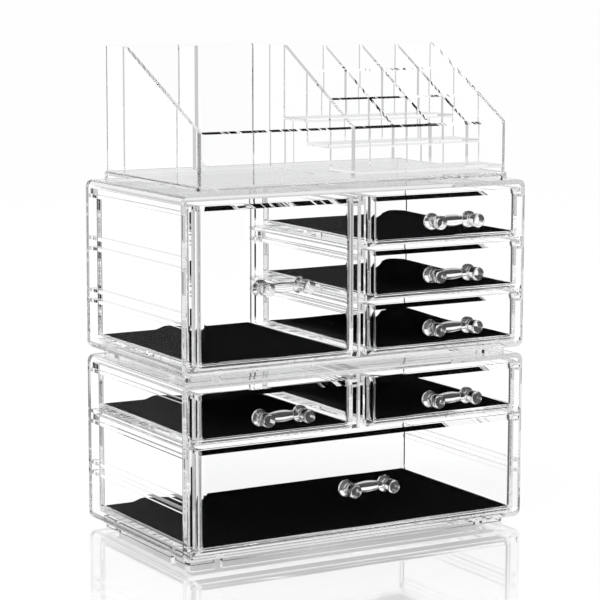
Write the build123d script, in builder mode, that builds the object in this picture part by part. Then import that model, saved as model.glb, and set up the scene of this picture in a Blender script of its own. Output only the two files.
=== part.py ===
from build123d import *
from dataclasses import dataclass
import os

# Clear stacking cosmetics organizer: two drawer cases with a loose tray on top.
# Millimetres, +Z up, +X to the right; the drawers open towards -Y.
# The origin is the bottom centre of the whole organizer, handles included.

# Drawer cases, both from one mould
CASE_WIDTH = 240.0
CASE_DEPTH = 130.0
CASE_HEIGHT = 105.0
CASE_WALL = 3.0
CASE_CORNER = 4.5
CAVITY_CORNER = 2.0
CASE_BACK_EDGE = 1.2
CASE_FRONT_EDGE = 0.5

# Foot ring under each case, cut into bars and corner pieces
FOOT_HEIGHT = 4.0
FOOT_INSET = 7.0
FOOT_WIDTH = 3.0
FOOT_CORNER = 5.0
FOOT_BREAK = 5.5
FOOT_BREAK_FROM_CORNER = 20.0
STACK_GAP = 0.1

# Runner rails on the side walls and dividers
RAIL_REACH = 4.2
RAIL_THICKNESS = 2.2
RAIL_GROOVE = 4.3
TOP_RAIL_DROP = 5.5
RAIL_LEVELS = 3
RAIL_SETBACK = 2.0

# Divider plates
DIVIDER_THICKNESS = 3.0
DIVIDER_FIT = 0.1

# Drawers
RIM_THICKNESS = 3.2
RIM_CLEARANCE = 0.3
RIM_END_CLEARANCE = 0.5
BOX_SIDE_CLEARANCE = 0.3
BOX_BACK_CLEARANCE = 0.5
BOX_FLOOR_CLEARANCE = 1.5
DRAWER_GAP = 2.3
FRONT_PROUD = 6.0
FRONT_THICKNESS = 4.0
FRONT_BEVEL = 3.0
PLATE_INSET = 1.0
PLATE_WALL_GAP = 0.65
PLATE_DIVIDER_GAP = 1.4
BOX_WALL = 2.5
BOX_FLOOR = 2.5
BOX_CORNER = 1.5
BOX_INNER_CORNER = 4.0
BOX_INNER_FILLET = 2.5
BOX_BOTTOM_EDGE = 1.0

# Felt pads
PAD_THICKNESS = 1.0
PAD_LIFT = 0.3
PAD_MARGIN = 1.8

# Handles
HANDLE_SPACING = 27.0
HANDLE_LENGTH = 12.8
HANDLE_SEAT = 0.1
HANDLE_DROP = 1.5
POST_BASE_RADIUS = 5.0
POST_BASE_THICKNESS = 1.6
POST_WAIST_RADIUS = 3.5
POST_WAIST_FROM_SEAT = 3.2
POST_HEAD_RADIUS = 4.15
POST_HEAD_LENGTH = 3.4
POST_HEAD_CHAMFER = 0.8
BAR_FROM_SEAT = 2.7
BAR_HALF_DEPTH = 2.2
BAR_ROOT_HALF_HEIGHT = 1.7
BAR_MIDDLE_HALF_HEIGHT = 3.5
BAR_STATIONS = (-1.0, -0.65, -0.3, 0.0, 0.3, 0.65, 1.0)

# Top tray
TRAY_WIDTH = 214.0
TRAY_WALL = 2.5
TRAY_CORNER = 4.0
TRAY_INNER_CORNER = 0.5
TRAY_BASE_HEIGHT = 4.8
TRAY_LIP = 1.5
TRAY_LIP_EDGE = 1.2
TRAY_SKIRT = 3.0
TRAY_FLOOR = 2.5
TRAY_BACK_HEIGHT = 82.0
TRAY_FRONT_HEIGHT = 34.9
TRAY_LEFT_FLAT = 29.5
TRAY_RIGHT_FLAT = 44.0
TRAY_CENTRE_WALL_FROM_LEFT = 103.5
TRAY_CROSS_WALL_FROM_BACK = 26.0
TRAY_BACK_DIVIDER_FROM_LEFT = 50.7

# Lipstick insert of the tray
CELL_COLUMNS = 4
CELL_ROWS = 3
CELL_WALL = 2.0
CELL_FLOOR = 2.2
CELL_STEP = 14.1
INSERT_FIT = 0.15
INSERT_LIFT = 2.4
INSERT_FOOT_WIDTH = 6.0

# Sizes that follow from those above
OVERALL_DEPTH = CASE_DEPTH + FRONT_PROUD + HANDLE_SEAT + HANDLE_LENGTH
BACK_Y = OVERALL_DEPTH / 2
FRONT_Y = BACK_Y - CASE_DEPTH
MIDDLE_Y = (BACK_Y + FRONT_Y) / 2
CASE_PITCH = FOOT_HEIGHT + CASE_HEIGHT + STACK_GAP
LOWER_BASE = 0.0
UPPER_BASE = LOWER_BASE + CASE_PITCH
TRAY_BASE = UPPER_BASE + CASE_PITCH
INNER_HALF_WIDTH = CASE_WIDTH / 2 - CASE_WALL
INNER_BACK_Y = BACK_Y - CASE_WALL
CASE_FLOOR = FOOT_HEIGHT + CASE_WALL
CASE_CEILING = FOOT_HEIGHT + CASE_HEIGHT - CASE_WALL
LOWEST_BOX_BOTTOM = CASE_FLOOR + BOX_FLOOR_CLEARANCE
TOP_BOX_TOP = CASE_CEILING - TOP_RAIL_DROP + RIM_CLEARANCE + RIM_THICKNESS
RAIL_PITCH = (TOP_BOX_TOP - LOWEST_BOX_BOTTOM + DRAWER_GAP) / RAIL_LEVELS
THIN_DRAWER_HEIGHT = RAIL_PITCH - DRAWER_GAP
RAIL_FRONT_Y = FRONT_Y + RAIL_SETBACK
PANEL_Y = FRONT_Y - FRONT_PROUD
BOX_BACK_Y = INNER_BACK_Y - BOX_BACK_CLEARANCE
OUTER_SIDE = INNER_HALF_WIDTH - RAIL_REACH - BOX_SIDE_CLEARANCE
INNER_SIDE = DIVIDER_THICKNESS / 2 + RAIL_REACH + BOX_SIDE_CLEARANCE
RIM_REACH = RAIL_REACH + BOX_SIDE_CLEARANCE - RIM_END_CLEARANCE
LEFT_SIDE = (-OUTER_SIDE, -INNER_SIDE)
RIGHT_SIDE = (INNER_SIDE, OUTER_SIDE)
FULL_SIDE = (-OUTER_SIDE, OUTER_SIDE)
PLATE_OUTER = INNER_HALF_WIDTH - PLATE_WALL_GAP
PLATE_INNER = DIVIDER_THICKNESS / 2 + PLATE_DIVIDER_GAP
LEFT_PLATE = (-PLATE_OUTER, -PLATE_INNER)
RIGHT_PLATE = (PLATE_INNER, PLATE_OUTER)
FULL_PLATE = (-PLATE_OUTER, PLATE_OUTER)
TRAY_DEPTH = CASE_DEPTH - 2 * TRAY_LIP
TRAY_FRONT_Y = MIDDLE_Y - TRAY_DEPTH / 2
TRAY_BACK_Y = MIDDLE_Y + TRAY_DEPTH / 2
TRAY_INNER_HALF = TRAY_WIDTH / 2 - TRAY_WALL
TRAY_TOP = TRAY_BASE + TRAY_BACK_HEIGHT
TRAY_FRONT_TOP = TRAY_BASE + TRAY_FRONT_HEIGHT
TRAY_FLOOR_TOP = TRAY_BASE + TRAY_BASE_HEIGHT
CENTRE_WALL_X = TRAY_CENTRE_WALL_FROM_LEFT - TRAY_WIDTH / 2
CENTRE_WALL_LEFT = CENTRE_WALL_X - TRAY_WALL / 2
CENTRE_WALL_RIGHT = CENTRE_WALL_X + TRAY_WALL / 2
RIGHT_FLAT_Y = TRAY_BACK_Y - TRAY_RIGHT_FLAT
LEFT_FLAT_Y = TRAY_BACK_Y - TRAY_LEFT_FLAT


def rail_top(level):
    """Height above the case's base of the face that carries a drawer rim."""
    return CASE_CEILING - TOP_RAIL_DROP - level * RAIL_PITCH


def rim_top(level):
    """Height above the case's base of a drawer's top on this rail level."""
    return TOP_BOX_TOP - level * RAIL_PITCH


def rail_centres():
    """Middle heights of all rails of one wall, above the case's base."""
    carriers = [rail_top(level) - RAIL_THICKNESS / 2 for level in range(RAIL_LEVELS)]
    guides = [rail_top(level) + RAIL_GROOVE + RAIL_THICKNESS / 2 for level in range(1, RAIL_LEVELS)]
    return carriers + guides


@dataclass(frozen=True)
class Drawer:
    """One drawer: its name, case, rail level, sides of box and plate, and height."""

    name: str
    case_base: float
    level: int
    sides: tuple
    plate: tuple
    height: float

    @property
    def top(self):
        return self.case_base + rim_top(self.level)

    @property
    def bottom(self):
        return self.top - self.height

    @property
    def middle_x(self):
        return sum(self.sides) / 2

    @property
    def width(self):
        return self.sides[1] - self.sides[0]


def height_to_floor(level):
    """Height of a drawer that reaches down to the case's floor."""
    return rim_top(level) - LOWEST_BOX_BOTTOM


DRAWERS = [
    Drawer("tall_drawer", UPPER_BASE, 0, LEFT_SIDE, LEFT_PLATE, height_to_floor(0)),
    Drawer("small_drawer_top", UPPER_BASE, 0, RIGHT_SIDE, RIGHT_PLATE, THIN_DRAWER_HEIGHT),
    Drawer("small_drawer_middle", UPPER_BASE, 1, RIGHT_SIDE, RIGHT_PLATE, THIN_DRAWER_HEIGHT),
    Drawer("small_drawer_bottom", UPPER_BASE, 2, RIGHT_SIDE, RIGHT_PLATE, THIN_DRAWER_HEIGHT),
    Drawer("flat_drawer_left", LOWER_BASE, 0, LEFT_SIDE, LEFT_PLATE, THIN_DRAWER_HEIGHT),
    Drawer("flat_drawer_right", LOWER_BASE, 0, RIGHT_SIDE, RIGHT_PLATE, THIN_DRAWER_HEIGHT),
    Drawer("wide_drawer", LOWER_BASE, 1, FULL_SIDE, FULL_PLATE, height_to_floor(1)),
]


def upright_plane(y):
    """Plane across the organizer at depth y, facing the front."""
    return Plane.XZ.offset(-y)


def case_shell(base):
    """Rounded case, open at the front, with its rails and its foot ring."""
    with BuildPart() as shell:
        with BuildSketch(upright_plane(BACK_Y)):
            with Locations((0, base + FOOT_HEIGHT + CASE_HEIGHT / 2)):
                RectangleRounded(CASE_WIDTH, CASE_HEIGHT, CASE_CORNER)
        extrude(amount=CASE_DEPTH)
        fillet(shell.faces().sort_by(Axis.Y)[-1].edges(), CASE_BACK_EDGE)
        with BuildSketch(upright_plane(FRONT_Y)):
            with Locations((0, base + FOOT_HEIGHT + CASE_HEIGHT / 2)):
                RectangleRounded(2 * INNER_HALF_WIDTH, CASE_HEIGHT - 2 * CASE_WALL, CAVITY_CORNER)
        extrude(amount=-(CASE_DEPTH - CASE_WALL), mode=Mode.SUBTRACT)
        fillet(shell.faces().sort_by(Axis.Y)[0].edges(), CASE_FRONT_EDGE)
        with BuildSketch(upright_plane(INNER_BACK_Y)):
            reach = RAIL_REACH + CASE_WALL / 2
            middle = INNER_HALF_WIDTH - RAIL_REACH + reach / 2
            with Locations(*[(side * middle, base + z) for side in (-1, 1) for z in rail_centres()]):
                Rectangle(reach, RAIL_THICKNESS)
        extrude(amount=INNER_BACK_Y - RAIL_FRONT_Y)
        ring_width = CASE_WIDTH - 2 * FOOT_INSET
        ring_depth = CASE_DEPTH - 2 * FOOT_INSET
        break_x = ring_width / 2 - FOOT_BREAK_FROM_CORNER
        break_y = ring_depth / 2 - FOOT_BREAK_FROM_CORNER
        with BuildSketch(Plane.XY.offset(base)):
            with Locations((0, MIDDLE_Y)):
                RectangleRounded(ring_width, ring_depth, FOOT_CORNER)
                Rectangle(ring_width - 2 * FOOT_WIDTH, ring_depth - 2 * FOOT_WIDTH, mode=Mode.SUBTRACT)
            with Locations((-break_x, MIDDLE_Y), (break_x, MIDDLE_Y)):
                Rectangle(FOOT_BREAK, ring_depth, mode=Mode.SUBTRACT)
            with Locations((0, MIDDLE_Y - break_y), (0, MIDDLE_Y + break_y)):
                Rectangle(ring_width, FOOT_BREAK, mode=Mode.SUBTRACT)
        extrude(amount=FOOT_HEIGHT)
    return shell.part


def divider(base, low, rail_heights):
    """Upright plate below the case's ceiling, with rails on both faces."""
    bottom = base + low + DIVIDER_FIT
    top = base + CASE_CEILING - DIVIDER_FIT
    back = INNER_BACK_Y - DIVIDER_FIT
    with BuildPart() as plate:
        with BuildSketch(upright_plane(back)):
            with Locations((0, (bottom + top) / 2)):
                Rectangle(DIVIDER_THICKNESS, top - bottom)
            with Locations(*[(0, base + z) for z in rail_heights]):
                Rectangle(DIVIDER_THICKNESS + 2 * RAIL_REACH, RAIL_THICKNESS)
        extrude(amount=back - RAIL_FRONT_Y)
    return plate.part


def front_plate(drawer, depth):
    """Drawer front with a bevel along its four front edges."""
    left, right = drawer.plate
    with BuildPart() as plate:
        with BuildSketch(upright_plane(PANEL_Y + depth)):
            with Locations(((left + right) / 2, (drawer.bottom + drawer.top) / 2)):
                Rectangle(right - left, drawer.height)
        extrude(amount=depth)
        chamfer(plate.faces().sort_by(Axis.Y)[0].edges(), FRONT_BEVEL)
    return plate.part


def drawer_box(drawer):
    """Open drawer box with side rims, behind its front plate."""
    plate_depth = FRONT_PROUD + PLATE_INSET
    body_front = PANEL_Y + FRONT_THICKNESS - BOX_CORNER
    with BuildPart() as box:
        with BuildSketch(Plane.XY.offset(drawer.bottom)):
            with Locations((drawer.middle_x, (body_front + BOX_BACK_Y) / 2)):
                RectangleRounded(drawer.width, BOX_BACK_Y - body_front, BOX_CORNER)
        extrude(amount=drawer.height)
        fillet(box.faces().sort_by(Axis.Z)[0].edges(), BOX_BOTTOM_EDGE)
        with BuildSketch(Plane.XY.offset(drawer.top - RIM_THICKNESS)):
            rim_length = BOX_BACK_Y - RAIL_FRONT_Y
            with Locations((drawer.middle_x, BOX_BACK_Y - rim_length / 2)):
                RectangleRounded(drawer.width + 2 * RIM_REACH, rim_length, BOX_CORNER)
        extrude(amount=RIM_THICKNESS)
        add(front_plate(drawer, plate_depth))
        inner_front = PANEL_Y + FRONT_THICKNESS
        inner_back = BOX_BACK_Y - BOX_WALL
        with BuildSketch(Plane.XY.offset(drawer.bottom + BOX_FLOOR)):
            with Locations((drawer.middle_x, (inner_front + inner_back) / 2)):
                RectangleRounded(drawer.width - 2 * BOX_WALL, inner_back - inner_front, BOX_INNER_CORNER)
        extrude(amount=drawer.height, mode=Mode.SUBTRACT)
        floor_face = box.faces().filter_by(Axis.Z).group_by(Axis.Z)[1].sort_by(SortBy.AREA)[-1]
        fillet(floor_face.edges(), BOX_INNER_FILLET)
    return box.part


def drawer_pad(drawer):
    """Thin felt pad that covers a drawer's floor."""
    margin = BOX_WALL + PAD_MARGIN
    pad_front = PANEL_Y + FRONT_THICKNESS + PAD_MARGIN
    pad_back = BOX_BACK_Y - margin
    with BuildPart() as pad:
        with BuildSketch(Plane.XY.offset(drawer.bottom + BOX_FLOOR + PAD_LIFT)):
            with Locations((drawer.middle_x, (pad_front + pad_back) / 2)):
                corner = BOX_INNER_CORNER - PAD_MARGIN / 2
                RectangleRounded(drawer.width - 2 * margin, pad_back - pad_front, corner)
        extrude(amount=PAD_THICKNESS)
    return pad.part


def drawer_handle(drawer):
    """Two turned posts joined by a leaf-shaped bar, at the middle of the front."""
    seat_y = PANEL_Y - HANDLE_SEAT
    height = (drawer.bottom + drawer.top) / 2 - HANDLE_DROP
    half = HANDLE_SPACING / 2
    head_start = HANDLE_LENGTH - POST_HEAD_LENGTH
    with BuildPart() as handle:
        for station in BAR_STATIONS:
            swell = (1 - station**2) ** 2
            centre = (drawer.middle_x + station * half, seat_y - BAR_FROM_SEAT, height)
            with BuildSketch(Plane(origin=centre, x_dir=(0, 1, 0), z_dir=(1, 0, 0))):
                half_height = BAR_ROOT_HALF_HEIGHT + swell * (BAR_MIDDLE_HALF_HEIGHT - BAR_ROOT_HALF_HEIGHT)
                Ellipse(BAR_HALF_DEPTH, half_height)
        loft()
        for side in (-1, 1):
            foot = (drawer.middle_x + side * half, seat_y, height)
            with BuildSketch(Plane(origin=foot, x_dir=(1, 0, 0), z_dir=(0, 0, -1))):
                with BuildLine():
                    Polyline(
                        (0, 0),
                        (POST_BASE_RADIUS, 0),
                        (POST_BASE_RADIUS, POST_BASE_THICKNESS),
                        (POST_WAIST_RADIUS, POST_WAIST_FROM_SEAT),
                        (POST_HEAD_RADIUS, head_start),
                        (POST_HEAD_RADIUS, HANDLE_LENGTH - POST_HEAD_CHAMFER),
                        (POST_HEAD_RADIUS - POST_HEAD_CHAMFER, HANDLE_LENGTH),
                        (0, HANDLE_LENGTH),
                        (0, 0),
                    )
                make_face()
            revolve(axis=Axis(foot, (0, -1, 0)))
    return handle.part


def slope_cutter(flat_y, low_x, high_x):
    """Solid above the slope that runs from the front's top up to flat_y."""
    with BuildPart() as cutter:
        with BuildSketch(Plane.YZ.offset(low_x)):
            with BuildLine():
                Polyline(
                    (TRAY_FRONT_Y, TRAY_FRONT_TOP),
                    (flat_y, TRAY_TOP),
                    (flat_y, TRAY_TOP + TRAY_WALL),
                    (TRAY_FRONT_Y - TRAY_WALL, TRAY_TOP + TRAY_WALL),
                    (TRAY_FRONT_Y - TRAY_WALL, TRAY_FRONT_TOP),
                    close=True,
                )
            make_face()
        extrude(amount=high_x - low_x)
    return cutter.part


def tray_body():
    """Tray with its lipped base, outer walls and large compartments."""
    cross_y = TRAY_BACK_Y - TRAY_CROSS_WALL_FROM_BACK
    wall_height = TRAY_TOP - TRAY_FLOOR_TOP
    half_width = TRAY_WIDTH / 2
    divider_x = TRAY_BACK_DIVIDER_FROM_LEFT - half_width
    left_cutter = slope_cutter(LEFT_FLAT_Y, -half_width, CENTRE_WALL_LEFT)
    right_cutter = slope_cutter(RIGHT_FLAT_Y, CENTRE_WALL_LEFT, half_width)
    with BuildPart() as tray:
        with BuildSketch(Plane.XY.offset(TRAY_BASE)):
            with Locations((0, MIDDLE_Y)):
                RectangleRounded(TRAY_WIDTH + 2 * TRAY_LIP, TRAY_DEPTH + 2 * TRAY_LIP, TRAY_CORNER + TRAY_LIP)
        extrude(amount=TRAY_BASE_HEIGHT)
        fillet(tray.faces().sort_by(Axis.Z)[-1].edges(), TRAY_LIP_EDGE)
        hollow = 2 * (TRAY_SKIRT - TRAY_LIP)
        with BuildSketch(Plane.XY.offset(TRAY_BASE)):
            with Locations((0, MIDDLE_Y)):
                RectangleRounded(TRAY_WIDTH - hollow, TRAY_DEPTH - hollow, TRAY_CORNER)
        extrude(amount=TRAY_BASE_HEIGHT - TRAY_FLOOR, mode=Mode.SUBTRACT)
        with BuildSketch(Plane.XY.offset(TRAY_FLOOR_TOP)):
            with Locations((0, MIDDLE_Y)):
                RectangleRounded(TRAY_WIDTH, TRAY_DEPTH, TRAY_CORNER)
                RectangleRounded(
                    2 * TRAY_INNER_HALF, TRAY_DEPTH - 2 * TRAY_WALL, TRAY_INNER_CORNER, mode=Mode.SUBTRACT
                )
            with Locations((CENTRE_WALL_X, MIDDLE_Y)):
                Rectangle(TRAY_WALL, TRAY_DEPTH - TRAY_WALL)
            with Locations(((CENTRE_WALL_X - half_width) / 2, cross_y)):
                Rectangle(TRAY_CENTRE_WALL_FROM_LEFT - TRAY_WALL, TRAY_WALL)
            with Locations((divider_x, (cross_y + TRAY_BACK_Y) / 2)):
                Rectangle(TRAY_WALL, TRAY_BACK_Y - cross_y - TRAY_WALL / 2)
        extrude(amount=wall_height)
        add(left_cutter, mode=Mode.SUBTRACT)
        add(right_cutter, mode=Mode.SUBTRACT)
    return tray.part


def lipstick_insert():
    """Stepped block of cells, on a front skirt and two back feet."""
    left = CENTRE_WALL_RIGHT + INSERT_FIT
    right = TRAY_INNER_HALF - INSERT_FIT
    front = TRAY_FRONT_Y + TRAY_WALL + INSERT_FIT
    bottom = TRAY_FLOOR_TOP + INSERT_FIT
    width = right - left
    middle_x = (left + right) / 2
    column_pitch = (TRAY_INNER_HALF - CENTRE_WALL_RIGHT) / CELL_COLUMNS
    row_pitch = (RIGHT_FLAT_Y - TRAY_FRONT_Y) / CELL_ROWS
    back_wall_y = RIGHT_FLAT_Y + CELL_WALL / 2
    foot_places = [(x, back_wall_y) for x in (left + INSERT_FOOT_WIDTH / 2, right - INSERT_FOOT_WIDTH / 2)]
    cutter = slope_cutter(RIGHT_FLAT_Y, CENTRE_WALL_RIGHT, TRAY_WIDTH / 2)
    with BuildPart() as insert:
        for row in range(CELL_ROWS):
            row_front = max(front, TRAY_FRONT_Y + row * row_pitch)
            row_back = TRAY_FRONT_Y + (row + 1) * row_pitch + CELL_WALL
            row_low = bottom + INSERT_LIFT + row * CELL_STEP
            middle_y = (row_front + row_back) / 2
            with BuildSketch(Plane.XY.offset(row_low)):
                with Locations((middle_x, middle_y)):
                    Rectangle(width, row_back - row_front)
            extrude(amount=CELL_FLOOR)
            with BuildSketch(Plane.XY.offset(row_low)):
                with Locations((middle_x, row_back - CELL_WALL / 2)):
                    Rectangle(width, CELL_WALL)
                with Locations(
                    *[(CENTRE_WALL_RIGHT + k * column_pitch, middle_y) for k in range(1, CELL_COLUMNS)]
                ):
                    Rectangle(CELL_WALL, row_back - row_front)
            extrude(amount=TRAY_TOP - row_low)
        with BuildSketch(Plane.XY.offset(bottom)):
            with Locations((middle_x, front + CELL_WALL / 2)):
                Rectangle(width, CELL_WALL)
        extrude(amount=INSERT_LIFT)
        with BuildSketch(Plane.XY.offset(bottom)):
            with Locations(*foot_places):
                Rectangle(INSERT_FOOT_WIDTH, CELL_WALL)
        extrude(amount=INSERT_LIFT + (CELL_ROWS - 1) * CELL_STEP)
        add(cutter, mode=Mode.SUBTRACT)
    return insert.part


def write_part(shape, name):
    """Label one finished piece and write it."""
    shape.label = name
    export_step(shape, f"parts/{name}.step")


os.makedirs("parts", exist_ok=True)

write_part(case_shell(LOWER_BASE), "lower_case_shell")
write_part(case_shell(UPPER_BASE), "upper_case_shell")
short_divider_low = rail_top(1) + RAIL_GROOVE
short_divider_rails = [rail_top(0) - RAIL_THICKNESS / 2]
write_part(divider(LOWER_BASE, short_divider_low, short_divider_rails), "lower_case_divider")
write_part(divider(UPPER_BASE, CASE_FLOOR, rail_centres()), "upper_case_divider")
write_part(tray_body(), "tray_body")
write_part(lipstick_insert(), "tray_lipstick_insert")
for item in DRAWERS:
    write_part(drawer_box(item), f"{item.name}_box")
    write_part(drawer_handle(item), f"{item.name}_handle")
    write_part(drawer_pad(item), f"{item.name}_pad")
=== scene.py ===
import logging
import math
from dataclasses import dataclass
from enum import Enum

import bmesh
import bpy
from mathutils import Matrix, Vector, noise


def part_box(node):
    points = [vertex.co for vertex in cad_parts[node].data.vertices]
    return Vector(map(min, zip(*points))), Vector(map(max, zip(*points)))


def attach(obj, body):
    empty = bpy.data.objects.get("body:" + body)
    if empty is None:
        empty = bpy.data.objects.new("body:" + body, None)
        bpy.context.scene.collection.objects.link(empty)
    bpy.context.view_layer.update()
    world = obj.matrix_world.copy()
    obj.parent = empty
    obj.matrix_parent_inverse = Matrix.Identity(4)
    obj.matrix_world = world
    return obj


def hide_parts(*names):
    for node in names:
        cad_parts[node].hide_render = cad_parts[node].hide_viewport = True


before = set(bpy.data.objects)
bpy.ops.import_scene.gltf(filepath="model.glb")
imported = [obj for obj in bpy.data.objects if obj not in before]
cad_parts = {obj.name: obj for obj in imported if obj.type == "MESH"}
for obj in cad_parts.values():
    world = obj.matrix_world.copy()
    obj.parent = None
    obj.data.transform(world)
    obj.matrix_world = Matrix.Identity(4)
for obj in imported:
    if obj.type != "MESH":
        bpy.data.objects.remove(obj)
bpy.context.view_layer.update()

log = logging.getLogger("organizer")

Colour = tuple[float, float, float, float]

MM = 0.001
# Share of a level direction that points sideways, where the studio's dark sides begin and are full
SIDE_START = 0.76
SIDE_END = 0.88
# A count of mirrorings above this is at least one
NONE_YET = 0.5
WHITE: Colour = (1.0, 1.0, 1.0, 1.0)
WHITE_STRENGTH = 1.0
# How far apart the wave patterns of two pads are taken from the noise
SEED_STEP = 3.7


class Drawers(Enum):
    """The seven drawers, by the name that their CAD nodes share."""

    TALL = "tall_drawer"
    SMALL_TOP = "small_drawer_top"
    SMALL_MIDDLE = "small_drawer_middle"
    SMALL_BOTTOM = "small_drawer_bottom"
    FLAT_LEFT = "flat_drawer_left"
    FLAT_RIGHT = "flat_drawer_right"
    WIDE = "wide_drawer"


# How far the fold of each pad lies from the pad's left edge
FOLD_PLACES = {
    Drawers.TALL: 43.0 * MM,
    Drawers.SMALL_TOP: 87.0 * MM,
    Drawers.SMALL_MIDDLE: 86.0 * MM,
    Drawers.SMALL_BOTTOM: 90.0 * MM,
    Drawers.FLAT_LEFT: 35.0 * MM,
    Drawers.FLAT_RIGHT: 62.0 * MM,
    Drawers.WIDE: 26.0 * MM,
}


class Cases(Enum):
    """The two drawer cases, by the name that their CAD nodes share."""

    LOWER = "lower_case"
    UPPER = "upper_case"


class Signal:
    """A number in a node tree, so that shader maths reads as an expression."""

    def __init__(self, bench: "NodeBench", socket: bpy.types.NodeSocket) -> None:
        """Wrap an output socket.

        Args:
            bench: The bench whose tree the socket belongs to.
            socket: The output that carries the number.
        """
        self.bench = bench
        self.socket = socket

    def _math(
        self, operation: str, first: "Signal | float", second: "Signal | float"
    ) -> "Signal":
        """Add one Math node.

        Args:
            operation: The Math node's operation.
            first: A Signal or a number.
            second: A Signal or a number.

        Returns:
            The node's result.
        """
        node = self.bench.node("ShaderNodeMath", {"operation": operation}, {0: first, 1: second})
        return Signal(self.bench, node.outputs[0])

    def __add__(self, other: "Signal | float") -> "Signal":
        """Sum."""
        return self._math("ADD", self, other)

    def __radd__(self, other: "Signal | float") -> "Signal":
        """Sum with a number on the left."""
        return self._math("ADD", other, self)

    def __mul__(self, other: "Signal | float") -> "Signal":
        """Product."""
        return self._math("MULTIPLY", self, other)

    def __rmul__(self, other: "Signal | float") -> "Signal":
        """Product with a number on the left."""
        return self._math("MULTIPLY", other, self)

    def __pow__(self, other: "Signal | float") -> "Signal":
        """Power."""
        return self._math("POWER", self, other)

    def __rpow__(self, other: "Signal | float") -> "Signal":
        """Power of a number."""
        return self._math("POWER", other, self)

    def __gt__(self, other: "Signal | float") -> "Signal":
        """One where it is greater, and otherwise zero."""
        return self._math("GREATER_THAN", self, other)

    def __abs__(self) -> "Signal":
        """Value without its sign."""
        return self._math("ABSOLUTE", self, 0.0)


class NodeBench:
    """Adds nodes to one tree, with their settings and inputs given together."""

    def __init__(self, tree: bpy.types.NodeTree) -> None:
        """Empty the tree.

        Args:
            tree: The node tree of a material or a world.
        """
        self.tree = tree
        self.tree.nodes.clear()

    def node(
        self, kind: str, settings: dict | None = None, inputs: dict | None = None
    ) -> bpy.types.Node:
        """Add a node.

        Args:
            kind: Blender's name of the node type.
            settings: Properties that are set first, such as an operation.
            inputs: Values or links by socket name or number.

        Returns:
            The new node.
        """
        made = self.tree.nodes.new(kind)
        for name, value in (settings or {}).items():
            setattr(made, name, value)
        for key, value in (inputs or {}).items():
            if isinstance(value, Signal):
                value = value.socket
            if isinstance(value, bpy.types.NodeSocket):
                self.tree.links.new(value, made.inputs[key])
            else:
                made.inputs[key].default_value = value
        return made

    def signal(self, made: bpy.types.Node, output: str | int = 0) -> Signal:
        """Wrap an output of a node for shader maths."""
        return Signal(self, made.outputs[output])

    def place(self, coordinates: str = "Object") -> bpy.types.NodeSocket:
        """Place on the piece, or direction into the world as Generated."""
        return self.node("ShaderNodeTexCoord").outputs[coordinates]

    def light(self, kind: str, strength: float) -> bpy.types.NodeSocket:
        """White light of one strength, from a surface or a world."""
        return self.node(kind, None, {"Color": WHITE, "Strength": strength}).outputs[0]

    def mix(
        self, share: Signal | float, low: bpy.types.NodeSocket, high: bpy.types.NodeSocket
    ) -> bpy.types.NodeSocket:
        """Mix two shaders.

        Args:
            share: How much of high is taken.
            low: A shader.
            high: A shader.

        Returns:
            The mixed shader.
        """
        return self.node("ShaderNodeMixShader", None, {0: share, 1: low, 2: high}).outputs[0]

    def step(
        self, value: Signal, start: float, end: float, low: float = 0.0, high: float = 1.0
    ) -> Signal:
        """A smooth step.

        Args:
            value: The number that is stepped.
            start: Where the step starts.
            end: Where it ends.
            low: Result before the step.
            high: Result after it.

        Returns:
            The stepped number.
        """
        made = self.node(
            "ShaderNodeMapRange",
            {"interpolation_type": "SMOOTHSTEP"},
            {"Value": value, "From Min": start, "From Max": end, "To Min": low, "To Max": high},
        )
        return self.signal(made)

    def white_unless_mirrored(
        self, place: bpy.types.NodeSocket, kind: str, front: float, sides: float
    ) -> bpy.types.NodeSocket:
        """White light, but pale front and back and dark sides for rays mirrored inside the plastic.

        Args:
            place: A point or direction around the organizer.
            kind: The light's node type, of a surface or of a world.
            front: Strength in front and behind for mirrored rays.
            sides: Strength at the sides for mirrored rays.

        Returns:
            The mixed shader.
        """
        split = self.node("ShaderNodeSeparateXYZ", None, {0: place})
        level = self.node(
            "ShaderNodeCombineXYZ", None, {"X": split.outputs["X"], "Y": split.outputs["Y"]}
        )
        heading = self.node(
            "ShaderNodeVectorMath", {"operation": "NORMALIZE"}, {0: level.outputs[0]}
        )
        ahead = self.node("ShaderNodeSeparateXYZ", None, {0: heading.outputs[0]})
        sideways = abs(self.signal(ahead, "X"))
        aside = self.step(sideways, SIDE_START, SIDE_END)
        room = self.mix(aside, self.light(kind, front), self.light(kind, sides))
        ray = self.node("ShaderNodeLightPath")
        mirrorings = self.signal(ray, "Glossy Depth") * self.signal(ray, "Transmission Depth")
        return self.mix(mirrorings > NONE_YET, self.light(kind, WHITE_STRENGTH), room)

    def noise(self, scale: float, detail: float, roughness: float = 0.5) -> Signal:
        """Noise over the piece's own coordinates.

        Args:
            scale: How many lumps there are in a metre.
            detail: How many finer layers are added.
            roughness: How strong the finer layers are.

        Returns:
            The noise, from 0 to 1.
        """
        made = self.node(
            "ShaderNodeTexNoise",
            {"noise_dimensions": "3D"},
            {"Vector": self.place(), "Scale": scale, "Detail": detail, "Roughness": roughness},
        )
        return self.signal(made, "Fac")

    def blend(self, share: Signal, low: Colour, high: Colour) -> bpy.types.NodeSocket:
        """Mix two colours.

        Args:
            share: How much of high is taken.
            low: A colour.
            high: A colour.

        Returns:
            The mixed colour.
        """
        made = self.node(
            "ShaderNodeMix",
            {"data_type": "RGBA", "clamp_factor": True},
            {"Factor": share, 6: low, 7: high},
        )
        return made.outputs[2]


def colour(red: float, green: float, blue: float) -> Colour:
    """A colour with full alpha."""
    return (red, green, blue, 1.0)


def smooth(share: float) -> float:
    """Ease a share, from 0 to 1, in and out."""
    return share * share * (3.0 - 2.0 * share)


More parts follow.
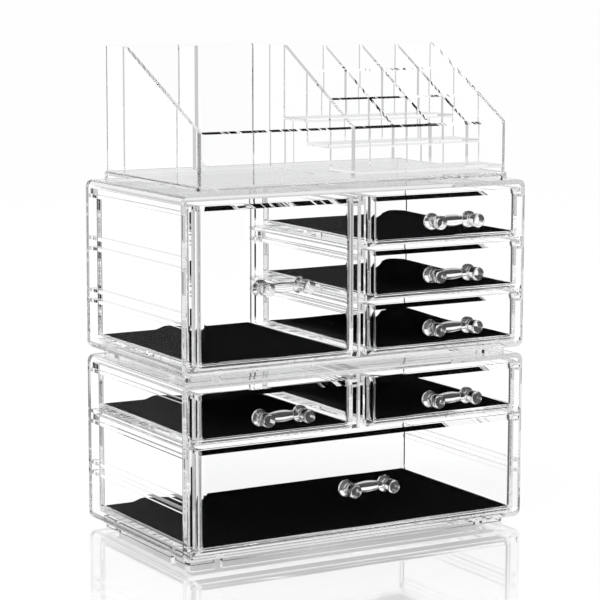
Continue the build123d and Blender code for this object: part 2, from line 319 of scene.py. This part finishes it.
@dataclass(frozen=True)
class ClearPlastic:
    """Polished clear plastic, with painted shade that darkens its colour where it is seen edge on.
    """

    name: str
    face_tint: Colour = colour(0.997, 0.998, 0.998)
    # Painted shade: the dark colour that faces take on where they are seen edge on
    painted_edge_shade: Colour = colour(0.35, 0.36, 0.37)
    lamp_tint: Colour = colour(0.97, 0.97, 0.97)
    gleam: Colour = colour(0.05, 0.05, 0.05)
    refraction: float = 1.49
    roughness: float = 0.02
    smudge_scale: float = 60.0
    smudge_detail: float = 3.0
    # How tightly the painted edge shade gathers where faces are seen edge on
    edge_sharpness: float = 9.0
    waviness: float = 0.000002
    wave_scale: float = 35.0
    wave_detail: float = 1.0
    calm_below: float = 0.12
    full_above: float = 0.4
    calm_share: float = 0.1

    def material(self) -> bpy.types.Material:
        """Build the material.

        Returns:
            A refracting material that lets lamps through.
        """
        made = bpy.data.materials.new(self.name)
        made.use_nodes = True
        bench = NodeBench(made.node_tree)
        facing = bench.signal(bench.node("ShaderNodeLayerWeight", None, {"Blend": 0.5}), "Facing")
        # Painted shade: the colour goes from the plastic's faint tint to the dark edge colour as
        # faces turn edge on
        tint_with_painted_edge_shade = bench.blend(facing**self.edge_sharpness, self.face_tint, self.painted_edge_shade)
        ripple = bench.noise(self.wave_scale, self.wave_detail)
        bump = bench.node(
            "ShaderNodeBump", None, {"Strength": 1.0, "Distance": self.waviness, "Height": ripple}
        ).outputs[0]
        plastic = bench.node(
            "ShaderNodeBsdfPrincipled",
            None,
            {
                "Base Color": tint_with_painted_edge_shade,
                "Roughness": bench.noise(self.smudge_scale, self.smudge_detail) * self.roughness,
                "Normal": bump,
                "IOR": self.refraction,
                "Specular Tint": self.gleam,
                "Transmission Weight": 1.0,
            },
        )
        through = bench.node(
            "ShaderNodeBsdfRefraction",
            None,
            {"Color": self.face_tint, "Roughness": 0.0, "IOR": self.refraction, "Normal": bump},
        )
        shine = bench.signal(
            bench.node("ShaderNodeFresnel", None, {"IOR": self.refraction, "Normal": bump})
        )
        share = bench.step(shine, self.calm_below, self.full_above, self.calm_share)
        clear = bench.mix(share, through.outputs[0], plastic.outputs[0])
        lamp = bench.node("ShaderNodeBsdfTransparent", None, {"Color": self.lamp_tint})
        shadow = bench.signal(bench.node("ShaderNodeLightPath"), "Is Shadow Ray")
        shader = bench.mix(shadow, clear, lamp.outputs[0])
        bench.node("ShaderNodeOutputMaterial", None, {"Surface": shader})
        return made


@dataclass(frozen=True)
class BlackFelt:
    """Black felt with short fibres and a soft sheen."""

    name: str = "black_felt"
    deep: Colour = colour(0.001, 0.001, 0.001)
    fibre: Colour = colour(0.009, 0.009, 0.0095)
    fibre_scale: float = 1800.0
    fibre_detail: float = 4.0
    fibre_harshness: float = 0.7
    fibre_part: float = 0.6
    clump_scale: float = 220.0
    clump_detail: float = 3.0
    clump_harshness: float = 0.6
    bump_strength: float = 0.8
    nap: float = 0.4 * MM
    roughness: float = 0.95
    sheen: float = 0.002
    sheen_roughness: float = 0.6

    def material(self) -> bpy.types.Material:
        """Build the material.

        Returns:
            A rough black cloth with a fibre bump.
        """
        made = bpy.data.materials.new(self.name)
        made.use_nodes = True
        bench = NodeBench(made.node_tree)
        fibres = bench.noise(self.fibre_scale, self.fibre_detail, self.fibre_harshness)
        clumps = bench.noise(self.clump_scale, self.clump_detail, self.clump_harshness)
        pile = fibres * self.fibre_part + clumps * (1.0 - self.fibre_part)
        bump = bench.node(
            "ShaderNodeBump",
            None,
            {"Strength": self.bump_strength, "Distance": self.nap, "Height": pile},
        )
        felt = bench.node(
            "ShaderNodeBsdfPrincipled",
            None,
            {
                "Base Color": bench.blend(pile, self.deep, self.fibre),
                "Roughness": self.roughness,
                "Normal": bump.outputs[0],
                "Specular IOR Level": 0.0,
                "Sheen Weight": self.sheen,
                "Sheen Roughness": self.sheen_roughness,
            },
        )
        bench.node("ShaderNodeOutputMaterial", None, {"Surface": felt.outputs[0]})
        return made


@dataclass(frozen=True)
class PaleFloor:
    """White tabletop that mirrors the organizer faintly around its foot."""

    name: str = "pale_floor"
    paint: Colour = colour(0.9, 0.9, 0.9)
    paint_roughness: float = 0.6
    gloss_roughness: float = 0.04
    matt_share: float = 0.12
    mirror_share: float = 0.5
    mirror_near: float = 0.08
    mirror_far: float = 0.32
    front: float = 0.62
    sides: float = 0.03

    def material(self) -> bpy.types.Material:
        """Build the material.

        Returns:
            A floor that is white to straight rays and dim to mirrored ones.
        """
        made = bpy.data.materials.new(self.name)
        made.use_nodes = True
        bench = NodeBench(made.node_tree)
        place = bench.place()
        glow = bench.white_unless_mirrored(place, "ShaderNodeEmission", self.front, self.sides)
        matt = bench.node(
            "ShaderNodeBsdfPrincipled",
            None,
            {
                "Base Color": self.paint,
                "Roughness": self.paint_roughness,
                "Specular IOR Level": 0.0,
            },
        )
        table = bench.mix(self.matt_share, glow, matt.outputs[0])
        mirror = bench.node(
            "ShaderNodeBsdfGlossy", None, {"Color": WHITE, "Roughness": self.gloss_roughness}
        )
        away = bench.node("ShaderNodeVectorMath", {"operation": "LENGTH"}, {0: place})
        fade = bench.step(
            bench.signal(away, "Value"), self.mirror_near, self.mirror_far, self.mirror_share, 0.0
        )
        shader = bench.mix(fade, table, mirror.outputs[0])
        bench.node("ShaderNodeOutputMaterial", None, {"Surface": shader})
        return made


class Workshop:
    """Makes each finish once and hands it out."""

    def __init__(self) -> None:
        """Build the finishes of the organizer."""
        self.case = ClearPlastic("clear_case").material()
        self.drawer = ClearPlastic("clear_drawer").material()
        self.tray = ClearPlastic("clear_tray").material()
        self.handle = ClearPlastic(
            "clear_handle",
            # Painted shade: dark outlines where the handle is seen edge on
            painted_edge_shade=colour(0.02, 0.02, 0.02),
            edge_sharpness=2.2,
            gleam=WHITE,
            calm_share=1.0,
        ).material()
        self.felt = BlackFelt().material()

    @staticmethod
    def dress(node: str, finish: bpy.types.Material) -> None:
        """Give a CAD node its finish.

        Args:
            node: The CAD node's name.
            finish: The material for all its slots.
        """
        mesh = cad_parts[node].data
        mesh.materials.clear()
        mesh.materials.append(finish)


@dataclass
class DrawerCase:
    """One drawer case: its shell with rails and its divider."""

    case: Cases

    def build(self, shop: Workshop) -> None:
        """Dress the case's CAD nodes.

        Args:
            shop: The finishes.
        """
        for piece in ("shell", "divider"):
            Workshop.dress(f"{self.case.value}_{piece}", shop.case)
        log.info("%s dressed", self.case.value)


@dataclass
class Drawer:
    """One drawer: its clear box, its handle and its felt pad with a low fold near its back edge."""

    drawer: Drawers
    fold_place: float
    seed: float
    pad_step: float = 2.0 * MM
    pad_thickness: float = 0.9 * MM
    wave_height: float = 0.9 * MM
    wave_length: float = 45.0 * MM
    fold_height: float = 2.0 * MM
    fold_rise: float = 8.0 * MM
    fold_fall: float = 26.0 * MM
    fold_reach: float = 55.0 * MM

    def build(self, shop: Workshop) -> None:
        """Dress the box and the handle, and lay the pad.

        Args:
            shop: The finishes.
        """
        name = self.drawer.value
        Workshop.dress(f"{name}_box", shop.drawer)
        Workshop.dress(f"{name}_handle", shop.handle)
        pad = self.lay_pad(shop.felt)
        log.info("%s built with %s", name, pad.name)

    def pad_height(self, x: float, y: float, width: float, length: float) -> float:
        """Height of the pad's underside above its lowest plane.

        Args:
            x: Place across the pad, from its left edge.
            y: Place along the pad, from its front edge.
            width: The pad's width; not used.
            length: The pad's length.

        Returns:
            The height in metres.
        """
        place = Vector((x / self.wave_length, y / self.wave_length, self.seed))
        wave = self.wave_height * (0.5 + 0.5 * noise.noise(place))
        past = x - self.fold_place
        slope = self.fold_rise if past < 0.0 else self.fold_fall
        across = max(0.0, 1.0 - abs(past) / slope)
        along = max(0.0, 1.0 - (length - y) / self.fold_reach)
        return wave + self.fold_height * smooth(across) * along

    def lay_pad(self, felt: bpy.types.Material) -> bpy.types.Object:
        """Make the felt pad in the place of its CAD solid.

        Args:
            felt: The pad's material.

        Returns:
            The pad.
        """
        node = f"{self.drawer.value}_pad"
        low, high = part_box(node)
        width, length = high.x - low.x, high.y - low.y
        mesh = bpy.data.meshes.new(f"{self.drawer.value}_felt")
        middle = Vector(((low.x + high.x) / 2, (low.y + high.y) / 2, low.z))
        build = bmesh.new()
        bmesh.ops.create_grid(
            build,
            x_segments=round(width / self.pad_step),
            y_segments=round(length / self.pad_step),
            size=0.5,
            matrix=Matrix.Diagonal((width, length, 1.0, 1.0)),
        )
        bmesh.ops.translate(build, verts=build.verts, vec=middle)
        for vertex in build.verts:
            vertex.co.z += self.pad_height(vertex.co.x - low.x, vertex.co.y - low.y, width, length)
        bmesh.ops.recalc_face_normals(build, faces=build.faces)
        build.to_mesh(mesh)
        build.free()
        mesh.materials.append(felt)
        mesh.shade_smooth()
        pad = bpy.data.objects.new(f"{self.drawer.value}_felt", mesh)
        bpy.context.scene.collection.objects.link(pad)
        skin = pad.modifiers.new("thickness", "SOLIDIFY")
        skin.thickness = self.pad_thickness
        skin.offset = 1.0
        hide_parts(node)
        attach(pad, self.drawer.value)
        return pad


@dataclass
class TopTray:
    """The loose tray with its lipstick cells."""

    body_node: str = "tray_body"
    insert_node: str = "tray_lipstick_insert"

    def build(self, shop: Workshop) -> None:
        """Dress the tray's CAD nodes.

        Args:
            shop: The finishes.
        """
        Workshop.dress(self.body_node, shop.tray)
        Workshop.dress(self.insert_node, shop.tray)
        log.info("tray dressed")


@dataclass(frozen=True)
class Softbox:
    """A soft square lamp, in metres and watts."""

    name: str
    place: tuple[float, float, float]
    size: float
    power: float

    def hang(self, target: Vector) -> None:
        """Hang the lamp so that it points at a place.

        Args:
            target: The place that it lights.
        """
        data = bpy.data.lights.new(self.name, "AREA")
        data.size = self.size
        data.energy = self.power
        lamp = bpy.data.objects.new(self.name, data)
        lamp.location = self.place
        aim = target - lamp.location
        lamp.rotation_euler = aim.to_track_quat("-Z", "Y").to_euler()
        bpy.context.scene.collection.objects.link(lamp)


@dataclass
class Studio:
    """White table, soft lamps and the photograph's camera."""

    key: Softbox = Softbox("key_softbox", (-1.0, -0.5, 1.6), 0.8, 10.0)
    fill: Softbox = Softbox("fill_softbox", (1.3, 0.4, 1.5), 0.6, 5.0)
    lamp_target: Vector = Vector((0.0, 0.0, 150.0)) * MM
    camera_place: Vector = Vector((-703.2, -1194.85, 345.2)) * MM
    camera_yaw: float = math.radians(30.14)
    camera_pitch: float = math.radians(8.27)
    camera_roll: float = math.radians(0.11)
    focal_pixels: float = 2258.0
    picture_pixels: float = 600.0
    sensor: float = 36.0
    near_clip: float = 0.05
    far_clip: float = 30.0
    floor_size: float = 60.0
    clear_bounces: int = 128
    shadow_bounces: int = 64
    matt_bounces: int = 4
    front: float = 0.85
    sides: float = 0.03

    def build(self) -> None:
        """Set up the floor, world, lamps, camera and render settings."""
        self.place_floor()
        self.fill_world()
        self.key.hang(self.lamp_target)
        self.fill.hang(self.lamp_target)
        self.place_camera()
        scene = bpy.context.scene
        scene.view_settings.view_transform = "Standard"
        scene.cycles.max_bounces = self.clear_bounces
        scene.cycles.transmission_bounces = self.clear_bounces
        scene.cycles.glossy_bounces = self.clear_bounces
        scene.cycles.transparent_max_bounces = self.shadow_bounces
        scene.cycles.diffuse_bounces = self.matt_bounces
        log.info("studio ready")

    def place_floor(self) -> None:
        """Lay the white table."""
        mesh = bpy.data.meshes.new("floor")
        build = bmesh.new()
        bmesh.ops.create_grid(build, x_segments=1, y_segments=1, size=self.floor_size / 2)
        build.to_mesh(mesh)
        build.free()
        mesh.materials.append(PaleFloor().material())
        floor = bpy.data.objects.new("floor", mesh)
        bpy.context.scene.collection.objects.link(floor)

    def fill_world(self) -> None:
        """Surround the table with white light that is dark at the sides for mirrored rays."""
        world = bpy.data.worlds.new("studio")
        bpy.context.scene.world = world
        world.use_nodes = True
        bench = NodeBench(world.node_tree)
        room = bench.white_unless_mirrored(
            bench.place("Generated"), "ShaderNodeBackground", self.front, self.sides
        )
        bench.node("ShaderNodeOutputWorld", None, {"Surface": room})

    def place_camera(self) -> None:
        """Put the camera where the photograph was taken from."""
        data = bpy.data.cameras.new("camera")
        data.sensor_width = self.sensor
        data.lens = self.focal_pixels / self.picture_pixels * self.sensor
        data.clip_start = self.near_clip
        data.clip_end = self.far_clip
        ahead = Vector(
            (
                math.sin(self.camera_yaw) * math.cos(self.camera_pitch),
                math.cos(self.camera_yaw) * math.cos(self.camera_pitch),
                -math.sin(self.camera_pitch),
            )
        )
        right = Vector((math.cos(self.camera_yaw), -math.sin(self.camera_yaw), 0.0))
        up = right.cross(ahead)
        level_right = right * math.cos(self.camera_roll) + up * math.sin(self.camera_roll)
        level_up = up * math.cos(self.camera_roll) - right * math.sin(self.camera_roll)
        turn = Matrix((level_right, level_up, -ahead)).transposed()
        camera = bpy.data.objects.new("camera", data)
        camera.matrix_world = Matrix.Translation(self.camera_place) @ turn.to_4x4()
        bpy.context.scene.collection.objects.link(camera)
        bpy.context.scene.camera = camera


def main() -> None:
    """Build and dress the whole organizer in its studio."""
    logging.basicConfig(level=logging.INFO, format="%(name)s: %(message)s")
    shop = Workshop()
    for case in Cases:
        DrawerCase(case).build(shop)
    for number, drawer in enumerate(Drawers):
        Drawer(drawer, FOLD_PLACES[drawer], SEED_STEP * number).build(shop)
    TopTray().build(shop)
    Studio().build()


if __name__ == "__main__":
    main()
